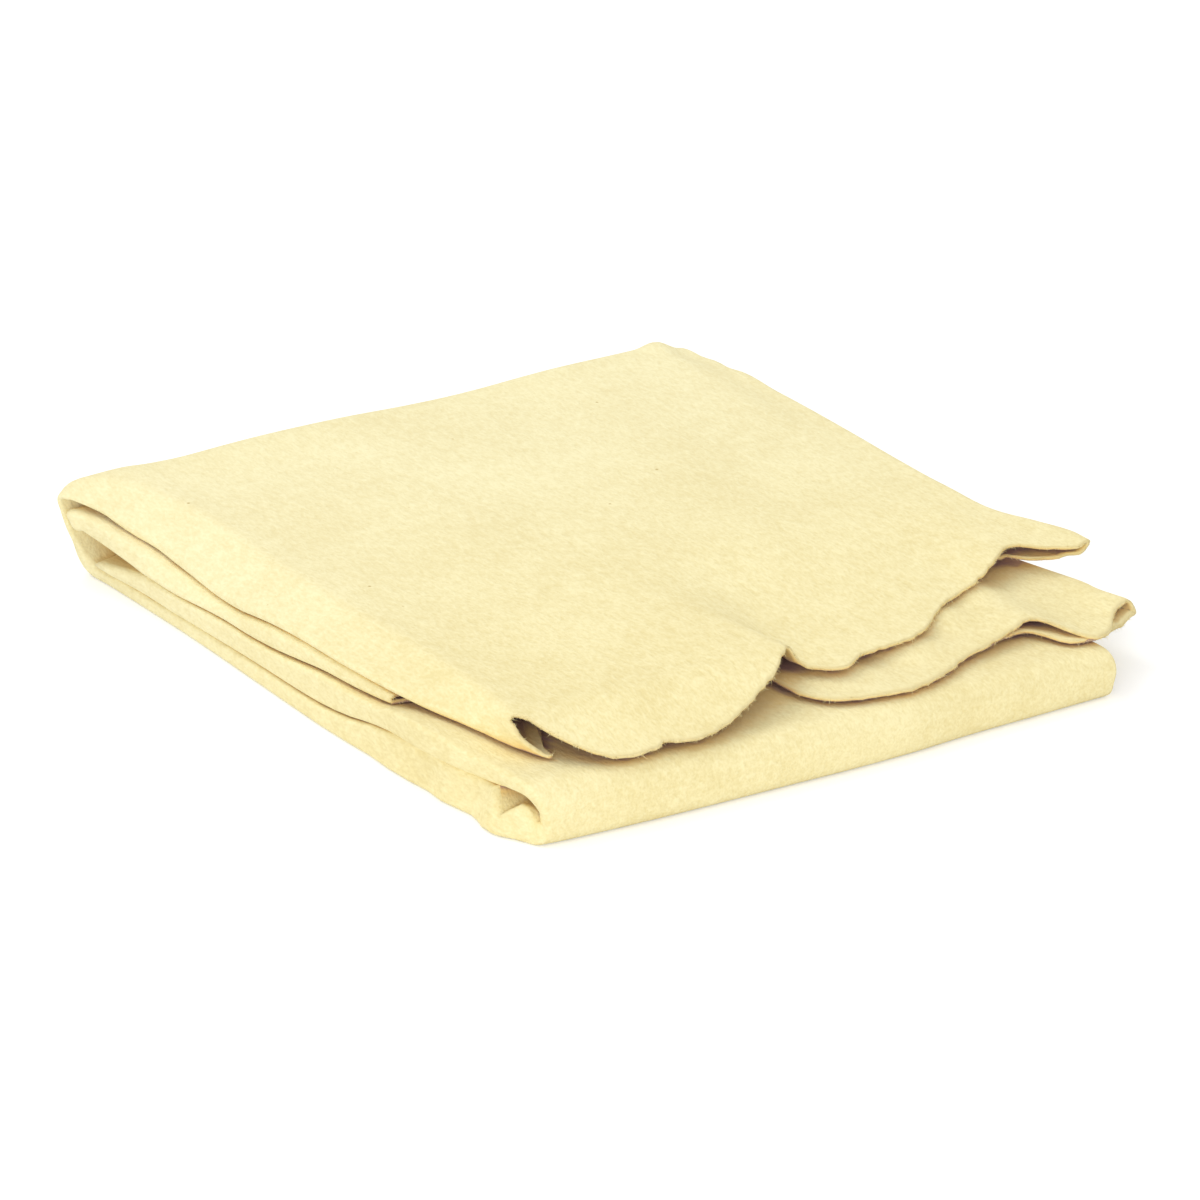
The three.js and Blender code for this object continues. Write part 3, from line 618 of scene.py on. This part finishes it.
def back_rows():
    def hump(x):
        return crown_height(x, BACK_START) + through(x, BACK_HUMP)

    def main_path(x):
        return route(
            [(BACK_START, crown_height(x, BACK_START)), (BACK_REACH + skew(x), hump(x)),
                (BACK_FOOT, FLOOR_LEAF), (BACK_START, FLOOR_LEAF)],
            BACK_CUTS, *BACK_STEPS)

    def wrap_path(x):
        return route(
            [(BACK_START, top_bottom(x, BACK_START)),
                (BACK_REACH + skew(x) - BEND_INSET, hump(x) - PRESSED_PANEL),
                (BACK_FOOT - BEND_INSET, FLOOR_LEAF + PRESSED_PANEL),
                (BACK_START, bottom_top(x, BACK_START))],
            BACK_INNER_CUTS, *BACK_STEPS)

    side = (BACK_RIGHT, BACK_CREASE, BACK_RIDGE, BACK_UPRIGHT_SHARES)
    return bend_rows("back", BACK_STEPS, side, (BACK_LEFT_RISE, BACK_RIGHT_RISE), wrap_path, main_path)


def right_side_at(y, pull):
    return PANEL_WIDTH - pull * ease((PULL_START - y) / PULL_LENGTH)


def bottom_rows():
    def floor_height(x, y):
        return np.full(len(x), FLOOR_LEAF)

    rows = []
    for q in range(BOTTOM_ROWS):
        t = crowded_end(q / BOTTOM_ROWS, BOTTOM_ROWS_CROWDING)
        y = mix(BACK_START, FRONT_START, t)
        left = through(y, BOTTOM_LEFT)
        slant = SIDE_SLANT + CORNER_SLANT * ease((FRONT_START + CORNER_LENGTH - y) / CORNER_LENGTH)
        x, level = section(
            mix(*UNDER_FLAP["bottom"], t), mix(*WRAP_FLAP["bottom"], t), right_side_at(y, BOTTOM_PULL),
            left, left + slant, bottom_top(left, y) - FLOOR_LEAF, bottom_top(PANEL_WIDTH, y) - FLOOR_LEAF,
            MIDDLE_LEAF_SHARE, 1, LOWER_ROUND)
        rows.append(panel_row(x, np.full(len(x), y), level, bottom_top, floor_height))
    return rows


def front_rows():
    def reach(x):
        return FRONT_REACH + through(x, FRONT_BULGE)

    def main_path(x):
        head = third_top(x, FRONT_START)
        return route(
            [(FRONT_START, FLOOR_LEAF), (-reach(x), FLOOR_LEAF), (FRONT_LEAN - reach(x), head),
                (FRONT_START, head)],
            FRONT_CUTS, *FRONT_STEPS)

    def wrap_path(x):
        path = route(
            [(FRONT_START, bottom_top(x, FRONT_START)), (BEND_INSET - reach(x), FLOOR_LEAF + PRESSED_PANEL),
                (FRONT_LEAN - reach(x) + BEND_INSET, third_top(x, FRONT_START) - PRESSED_PANEL),
                (FRONT_START, third_bottom(x, FRONT_START))],
            FRONT_INNER_CUTS, *FRONT_STEPS)
        y, z = path[:LEDGE_ROWS, :, 0], path[:LEDGE_ROWS, :, 1]
        ledge = through(y, LEDGE) + LEDGE_CLIMB * z
        near_left = ease((LEDGE_DEPTH - x) / LEDGE_DEPTH * LEDGE_GROWTH)
        path[:LEDGE_ROWS, :, 1] = mix(z, ledge, near_left)
        return path

    side = (FRONT_RIGHT, FRONT_INNER_LEFT, FRONT_OUTER_LEFT, UPRIGHT_SHARES)
    return bend_rows("front", FRONT_STEPS, side, (FRONT_LEFT_RISE, FRONT_RIGHT_RISE), wrap_path, main_path)


def third_rows():
    def thickness(x, y):
        return third_top(x, y) - third_bottom(x, y)

    rows = []
    for q in range(THIRD_ROWS):
        t = crowded_start(q / THIRD_ROWS, THIRD_ROWS_CROWDING)
        y = mix(FRONT_START, INNER_START, t)
        left = through(y, THIRD_LEFT)
        x, level = section(
            mix(*UNDER_FLAP["third"], t), mix(*WRAP_FLAP["third"], t), right_side_at(y, THIRD_PULL),
            left, left + SIDE_SLANT, thickness(left, y), thickness(PANEL_WIDTH, y),
            MIDDLE_LEAF_SHARE, 1, LOWER_ROUND)
        rows.append(panel_row(x, np.full(len(x), y), level, third_bottom, third_top))
    return rows


def inner_rows():
    def cavity_drop(x):
        return CAVITY_DROP * ease((CAVITY_DROP_END - x) / CAVITY_DROP_FADE)

    def lump_top(x):
        end_rise = LUMP_END_RISE * ease((LUMP_END_LENGTH - x) / LUMP_END_LENGTH)
        return second_top(x, INNER_START) + LUMP_RISE + end_rise

    def wrap_path(x):
        return route(
            [(INNER_START, third_bottom(x, INNER_START)),
                (LUMP_FOOT, FLOOR_LEAF + PRESSED_PANEL + LEAF_STEP),
                (LUMP_REACH + skew(x), lump_top(x)), (INNER_START, second_top(x, INNER_START))],
            LUMP_CUTS, *INNER_STEPS)

    def main_path(x):
        cavity_floor = FLOOR_LEAF + PRESSED_PANEL * 2 + LEAF_STEP - cavity_drop(x)
        return route(
            [(INNER_START, third_top(x, INNER_START)), (LUMP_FOOT - LUMP_FOOT_WALL, cavity_floor),
                (LUMP_REACH + skew(x) - LUMP_WALL, lump_top(x) - LUMP_DEPTH),
                (INNER_START, second_bottom(x, INNER_START))],
            CAVITY_CUTS, *INNER_STEPS)

    side = (INNER_RIGHT, INNER_LEFT, INNER_LEFT, UPRIGHT_SHARES)
    return bend_rows("inner", INNER_STEPS, side, (INNER_LEFT_RISE, INNER_RIGHT_RISE), wrap_path, main_path)


def second_edge(x, level):
    """y of the second panel's raw end in every column."""
    tip = SECOND_TIP_EDGE + SECOND_TIP_SLANT * ease((1 - level) / (1 - SECOND_UNDER_LEAF_SHARE))
    edge = np.select(
        [LEAVES == "under", LEAVES == "turn", LEAVES == "main", LEAVES == "wrap"],
        [through(x, SECOND_UNDER_EDGE), tip, through(x, SECOND_MAIN_EDGE), through(x, SECOND_WRAP_EDGE)],
        SECOND_LEFT_EDGE)
    shift = RAGGED_END_SHIFT + RAGGED_LEAF_SHIFT * (LEAVES == "main")
    return edge + ragged(x + shift) * (LEAVES != "turn")


def second_rows():
    def near_end(y):
        return ease((WAVE_START - y) / WAVE_DEPTH)

    def main_height(x, y):
        return second_bottom(x, y) + near_end(y) * through(x, MAIN_WAVE)

    def wrap_height(x, y):
        lift = through(x, UNDER_WAVE) - SECOND_UNDER_LEAF_SHARE * through(x, MAIN_WAVE)
        return second_top(x, y) + near_end(y) * lift / (1 - SECOND_UNDER_LEAF_SHARE)

    rows = []
    for q in range(SECOND_ROWS + 1):
        t = crowded_end(q / SECOND_ROWS, SECOND_ROWS_CROWDING)
        left_y = mix(INNER_START, SECOND_LEFT_EDGE, t)
        left = through(left_y, SECOND_LEFT)
        x, level = section(
            mix(*UNDER_FLAP["second"], t), mix(*WRAP_FLAP["second"], t),
            through(mix(INNER_START, SECOND_TIP_EDGE, t), SECOND_RIGHT),
            left, left + through(left_y, SECOND_SLANT), mix(*SECOND_LEFT_RISE, t), SECOND_RIGHT_RISE,
            mix(MIDDLE_LEAF_SHARE, SECOND_UNDER_LEAF_SHARE, t), 1)
        y = mix(INNER_START, second_edge(x, level), t)
        rows.append(panel_row(x, y, level, wrap_height, main_height))
    return rows


def whole_grid():
    """Middle surface of the hide: rows from the top panel's raw end to the second panel's."""
    return np.concatenate([
        pushed(top_rows(), TOP_PUSHES),
        pushed(back_rows(), BACK_PUSHES),
        pushed(bottom_rows(), BOTTOM_PUSHES),
        front_rows(),
        pushed(third_rows(), THIRD_PUSHES),
        pushed(inner_rows(), INNER_PUSHES),
        pushed(second_rows(), SECOND_PUSHES)])


def unit(vectors):
    return vectors / np.linalg.norm(vectors, axis=-1, keepdims=True)


def normals_of(grid):
    """Unit directions square to the hide at every point of its middle surface."""
    padded = np.pad(grid, ((1, 1), (1, 1), (0, 0)), mode="edge")
    along = padded[2:, 1:-1] - padded[:-2, 1:-1]
    across = padded[1:-1, 2:] - padded[1:-1, :-2]
    return unit(np.cross(along, across))


def border_of(rows, columns):
    """Grid places round the border, in order."""
    path = [(0, i) for i in range(columns - 1)]
    path += [(j, columns - 1) for j in range(rows - 1)]
    path += [(rows - 1, i) for i in range(columns - 1, 0, -1)]
    path += [(j, 0) for j in range(rows - 1, 0, -1)]
    return path


def to_metres(points):
    return np.asarray(points) * MM + np.array(FOLD_CORNER)


def hidden_shares(points, faces):
    """How much of each point's outlook the hide itself blocks: 0 open, 1 deep inside a fold."""
    tree = BVHTree.FromPolygons(points.tolist(), faces)
    corners = points[np.array(faces)]
    face_normal = np.cross(corners[:, 2] - corners[:, 0], corners[:, 3] - corners[:, 1])
    normal = np.zeros_like(points)
    for k in range(4):
        np.add.at(normal, np.array(faces)[:, k], face_normal)
    normal = unit(normal)
    spread = unit(np.random.default_rng(SEED).normal(size=(OUTLOOK_RAYS, 3)))
    hidden = np.zeros(len(points))
    for k, (point, out) in enumerate(zip(points, normal)):
        start = Vector(point + out * OUTLOOK_START)
        for ray in out + spread * OUTLOOK_SPREAD:
            if tree.ray_cast(start, Vector(ray), OUTLOOK_REACH)[0] is not None:
                hidden[k] += 1 / OUTLOOK_RAYS
    return hidden


def mesh_piece(name, points, faces, material):
    mesh = bpy.data.meshes.new(name)
    mesh.from_pydata(to_metres(points).tolist(), [], faces)
    mesh.update()
    mesh.polygons.foreach_set("use_smooth", [True] * len(mesh.polygons))
    mesh.materials.append(material)
    piece = bpy.data.objects.new(name, mesh)
    bpy.context.scene.collection.objects.link(piece)
    return piece


def skin_faces(rows, columns):
    """Faces of the upper skin, the lower skin and the cut edge between them."""
    count = rows * columns
    number = np.arange(count).reshape(rows, columns)
    a, b, c, d = number[:-1, :-1], number[1:, :-1], number[1:, 1:], number[:-1, 1:]
    upper_faces = np.stack([a, b, c, d], -1).reshape(-1, 4)
    lower_faces = np.stack([a, d, c, b], -1).reshape(-1, 4) + count
    faces = np.concatenate([upper_faces, lower_faces]).tolist()
    border = [int(number[place]) for place in border_of(rows, columns)]
    for here, after in zip(border, border[1:] + border[:1]):
        faces.append([here, after, after + count, here + count])
    return faces


def hide_piece(grid, material):
    normal = normals_of(grid)
    upper = grid + normal * LEATHER / 2
    lower = grid - normal * LEATHER / 2
    for skin in (upper, lower):
        skin[..., 2] = np.maximum(skin[..., 2], 0)
    rows, columns = grid.shape[:2]
    points = np.concatenate([upper.reshape(-1, 3), lower.reshape(-1, 3)])
    faces = skin_faces(rows, columns)
    hide = mesh_piece("suede_hide", points, faces, material)
    rim = np.zeros((rows, columns))
    rim[0] = rim[-1] = 1
    rim[:, 0] = rim[:, -1] = 1
    # The hidden share of each point sets the painted shade inside the folds
    for name, values in (("rim", np.tile(rim.ravel(), 2)), ("hidden", hidden_shares(points, faces))):
        hide.data.attributes.new(name, "FLOAT", "POINT").data.foreach_set("value", values)
    return hide


def fibre_points(root, out, chance):
    """Points of one bent spike: two rings and a tip."""
    aim = unit(out + chance.normal(0, FIBRE_CURL, 3))
    bend = chance.normal(0, FIBRE_CURL, 3)
    length = chance.uniform(*FIBRE_LENGTH) * chance.uniform() + FIBRE_ROOT_DEPTH
    side = unit(np.cross(aim, (0, 0, 1)))
    other = np.cross(aim, side)
    sideways = chance.uniform(-LEATHER / 2, LEATHER / 2) * other * FIBRE_ROOT_SHARE
    root = root + sideways - out * FIBRE_ROOT_DEPTH
    points = []
    for t, thick in ((0, 1.0), (0.5, FIBRE_WAIST_SHARE)):
        middle = root + (aim + bend * t) * length * t
        for k in range(FIBRE_SIDES):
            turn = 2 * math.pi * k / FIBRE_SIDES
            points.append(middle + (side * math.cos(turn) + other * math.sin(turn)) * FIBRE_RADIUS * thick)
    points.append(root + (aim + bend) * length)
    return points


def fibre_faces(first):
    second = first + FIBRE_SIDES
    tip = second + FIBRE_SIDES
    faces = [list(range(first, second))]
    for k in range(FIBRE_SIDES):
        m = (k + 1) % FIBRE_SIDES
        faces.append([first + k, second + k, second + m, first + m])
        faces.append([second + k, tip, second + m])
    return faces


def fibre_piece(grid, material):
    """Short loose fibres along the two raw ends of the hide."""
    chance = np.random.default_rng(SEED)
    points = []
    faces = []
    for edge, inner in ((grid[0], grid[1]), (grid[-1], grid[-2])):
        steps = np.linalg.norm(np.diff(edge, axis=0), axis=-1)
        along = np.concatenate([[0], np.cumsum(steps)])
        for place in np.sort(chance.uniform(0, along[-1], int(along[-1] * FIBRES_PER_MM))):
            root = np.array([np.interp(place, along, edge[:, k]) for k in range(3)])
            behind = np.array([np.interp(place, along, inner[:, k]) for k in range(3)])
            faces += fibre_faces(len(points))
            points += fibre_points(root, unit(root - behind), chance)
    return mesh_piece("edge_fibres", points, faces, material)


def srgb(*levels):
    """Linear colour of levels of 255."""
    return tuple(((c / 255 + 0.055) / 1.055) ** 2.4 for c in levels) + (1.0,)


def noise(nodes, links, place, kind):
    """Noise whose blotches are about as large as the size of its kind."""
    size, detail = kind
    texture = nodes.new("ShaderNodeTexNoise")
    texture.inputs["Scale"].default_value = 1 / size
    texture.inputs["Detail"].default_value = detail
    links.new(place, texture.inputs["Vector"])
    return texture.outputs["Fac"]


def math_node(nodes, links, operation, first, second):
    """Output of a two-input sum or comparison. Each input is an output of another node or a number."""
    node = nodes.new("ShaderNodeMath")
    node.operation = operation
    for socket, value in zip(node.inputs, (first, second)):
        if isinstance(value, float):
            socket.default_value = value
        else:
            links.new(value, socket)
    return node.outputs[0]


def weighted_sum(nodes, links, outputs, weights):
    """Sum of the outputs times their weights, each counted from the noise's middle value."""
    total = None
    for output, weight in zip(outputs, weights):
        part = nodes.new("ShaderNodeMath")
        part.operation = "MULTIPLY_ADD"
        links.new(output, part.inputs[0])
        part.inputs[1].default_value = weight
        part.inputs[2].default_value = -weight / 2
        total = part.outputs[0] if total is None else math_node(nodes, links, "ADD", total, part.outputs[0])
    return total


def blend_colour(nodes, links, share, first, second):
    """Colour between two, each an output of another node or levels of 255."""
    blend = nodes.new("ShaderNodeMix")
    blend.data_type = "RGBA"
    links.new(share, blend.inputs["Factor"])
    for socket, colour in ((blend.inputs[6], first), (blend.inputs[7], second)):
        if isinstance(colour, tuple):
            socket.default_value = srgb(*colour)
        else:
            links.new(colour, socket)
    return blend.outputs[2]


def ramp(nodes, links, value, start, end, most=1.0, smooth=True):
    """0 up to start, then up to most at end."""
    node = nodes.new("ShaderNodeMapRange")
    node.interpolation_type = "SMOOTHSTEP" if smooth else "LINEAR"
    node.inputs["From Min"].default_value = start
    node.inputs["From Max"].default_value = end
    node.inputs["To Max"].default_value = most
    links.new(value, node.inputs["Value"])
    return node.outputs[0]


def attribute(nodes, name):
    node = nodes.new("ShaderNodeAttribute")
    node.attribute_name = name
    return node.outputs["Fac"]


def specks_share(nodes, links, place):
    """1 on a few small specks, 0 elsewhere."""
    cells = nodes.new("ShaderNodeTexVoronoi")
    cells.inputs["Scale"].default_value = 1 / SPECK_SPACING
    links.new(place, cells.inputs["Vector"])
    near = ramp(nodes, links, cells.outputs["Distance"], *SPECK_RADIUS_SHARES, smooth=False)
    split = nodes.new("ShaderNodeSeparateColor")
    links.new(cells.outputs["Color"], split.inputs[0])
    rare = math_node(nodes, links, "GREATER_THAN", split.outputs[0], SPECK_FREE_SHARE)
    return math_node(nodes, links, "MULTIPLY", near, rare)


def suede_colour(nodes, links, place, noises):
    tone = ramp(nodes, links, weighted_sum(nodes, links, noises, TONE_WEIGHTS), *TONE_RANGE, smooth=False)
    split = nodes.new("ShaderNodeSeparateXYZ")
    links.new(place, split.inputs[0])
    yellowing = ramp(nodes, links, split.outputs["Y"], *YELLOWING)
    dark = blend_colour(nodes, links, yellowing, BACK_DARK, FRONT_DARK)
    light = blend_colour(nodes, links, yellowing, BACK_LIGHT, FRONT_LIGHT)
    hue = blend_colour(nodes, links, tone, dark, light)
    specked = blend_colour(nodes, links, specks_share(nodes, links, place), hue, SPECK_COLOUR)
    edged = blend_colour(nodes, links, attribute(nodes, "rim"), specked, RIM_COLOUR)
    # Painted shade: where the hide hides a point from the light, its colour goes tan, then deep lilac brown
    hidden = attribute(nodes, "hidden")
    tan_shaded = blend_colour(nodes, links, ramp(nodes, links, hidden, *TAN_PAINTED_SHADE_SHARES), edged, TAN_PAINTED_SHADE_COLOUR)
    return blend_colour(nodes, links, ramp(nodes, links, hidden, *DEEP_PAINTED_SHADE_SHARES), tan_shaded, DEEP_PAINTED_SHADE_COLOUR)


def suede_material():
    material = bpy.data.materials.new("suede")
    material.use_nodes = True
    nodes, links = material.node_tree.nodes, material.node_tree.links
    shader = nodes["Principled BSDF"]
    shader.inputs["Roughness"].default_value = 1.0
    shader.inputs["Specular IOR Level"].default_value = 0.0
    shader.inputs["Sheen Weight"].default_value = SHEEN
    shader.inputs["Sheen Roughness"].default_value = SHEEN_ROUGHNESS
    place = nodes.new("ShaderNodeTexCoord").outputs["Object"]
    lay = nodes.new("ShaderNodeMapping")
    lay.inputs["Scale"].default_value = NAP_STRETCH
    links.new(place, lay.inputs["Vector"])
    patches, mottling = [noise(nodes, links, place, kind) for kind in (PATCHES, MOTTLING)]
    grain, nap = [noise(nodes, links, lay.outputs["Vector"], kind) for kind in (GRAIN, NAP)]
    colour = suede_colour(nodes, links, place, (patches, mottling, grain, nap))
    links.new(colour, shader.inputs["Base Color"])
    bump = nodes.new("ShaderNodeBump")
    bump.inputs["Strength"].default_value = BUMP_STRENGTH
    bump.inputs["Distance"].default_value = BUMP_HEIGHT
    links.new(weighted_sum(nodes, links, (mottling, grain, nap), BUMP_WEIGHTS), bump.inputs["Height"])
    links.new(bump.outputs["Normal"], shader.inputs["Normal"])
    return material


def area_light(name, place, power):
    """A round lamp that points at the object's middle."""
    lamp = bpy.data.lights.new(name, "AREA")
    lamp.shape = "DISK"
    lamp.size = LAMP_SIZE
    lamp.energy = power
    light = bpy.data.objects.new(name, lamp)
    light.location = place
    light.rotation_euler = (-Vector(place)).to_track_quat("-Z", "Y").to_euler()
    bpy.context.scene.collection.objects.link(light)


def background_ray(nodes, links):
    """1 for the rays that show the background: from the camera, in gloss and through glass."""
    path = nodes.new("ShaderNodeLightPath")
    seen = math_node(nodes, links, "MAXIMUM", path.outputs["Is Camera Ray"], path.outputs["Is Glossy Ray"])
    return math_node(nodes, links, "MAXIMUM", seen, path.outputs["Is Transmission Ray"])


def mix_shaders(nodes, links, share, first, second):
    choose = nodes.new("ShaderNodeMixShader")
    links.new(share, choose.inputs[0])
    links.new(first, choose.inputs[1])
    links.new(second, choose.inputs[2])
    return choose.outputs[0]


def plain_world():
    world = bpy.data.worlds.new("studio")
    bpy.context.scene.world = world
    world.use_nodes = True
    nodes, links = world.node_tree.nodes, world.node_tree.links
    backdrop = nodes["Background"]
    ambient = nodes.new("ShaderNodeBackground")
    for shader, strength in ((backdrop, BACKDROP_STRENGTH), (ambient, AMBIENT_STRENGTH)):
        shader.inputs["Color"].default_value = WHITE
        shader.inputs["Strength"].default_value = strength
    surface = mix_shaders(
        nodes, links, background_ray(nodes, links), ambient.outputs[0], backdrop.outputs[0])
    links.new(surface, nodes["World Output"].inputs["Surface"])


def floor_material():
    """Pale and matt. It glows a little for the rays that show the background, and keeps the shadow."""
    material = bpy.data.materials.new("pale_floor")
    material.use_nodes = True
    nodes, links = material.node_tree.nodes, material.node_tree.links
    shader = nodes["Principled BSDF"]
    shader.inputs["Base Color"].default_value = FLOOR_COLOUR
    shader.inputs["Roughness"].default_value = FLOOR_ROUGHNESS
    shader.inputs["Specular IOR Level"].default_value = 0.0
    glow = nodes.new("ShaderNodeEmission")
    glow.inputs["Color"].default_value = WHITE
    glow.inputs["Strength"].default_value = FLOOR_GLOW
    glowing = nodes.new("ShaderNodeAddShader")
    links.new(shader.outputs[0], glowing.inputs[0])
    links.new(glow.outputs[0], glowing.inputs[1])
    surface = mix_shaders(nodes, links, background_ray(nodes, links), shader.outputs[0], glowing.outputs[0])
    links.new(surface, nodes["Material Output"].inputs["Surface"])
    return material


def studio():
    plain_world()
    bpy.ops.mesh.primitive_plane_add(size=FLOOR_SIZE, location=(0, 0, 0))
    floor = bpy.context.active_object
    floor.name = "floor"
    floor.data.materials.append(floor_material())
    area_light("key", KEY_PLACE, KEY_POWER)
    area_light("back", BACK_PLACE, BACK_POWER)
    bpy.context.scene.view_settings.view_transform = "Standard"


def camera():
    lens = bpy.data.cameras.new("camera")
    lens.lens = LENS
    lens.sensor_width = SENSOR
    lens.clip_end = CAMERA_CLIP_END
    eye = bpy.data.objects.new("camera", lens)
    bpy.context.scene.collection.objects.link(eye)
    turn = math.radians(CAMERA_TURN)
    tilt = math.radians(CAMERA_TILT)
    view = Vector((math.sin(turn) * math.cos(tilt), math.cos(turn) * math.cos(tilt), -math.sin(tilt)))
    eye.location = Vector(CAMERA_TARGET) + FOLD_CORNER - view * CAMERA_DISTANCE
    eye.rotation_euler = view.to_track_quat("-Z", "Y").to_euler()
    bpy.context.scene.camera = eye


camera()
studio()
suede = suede_material()
grid = whole_grid()
hide = hide_piece(grid, suede)
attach(hide, "root")
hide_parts("chamois_hide")
fibres = fibre_piece(grid, suede)
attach(fibres, "root")
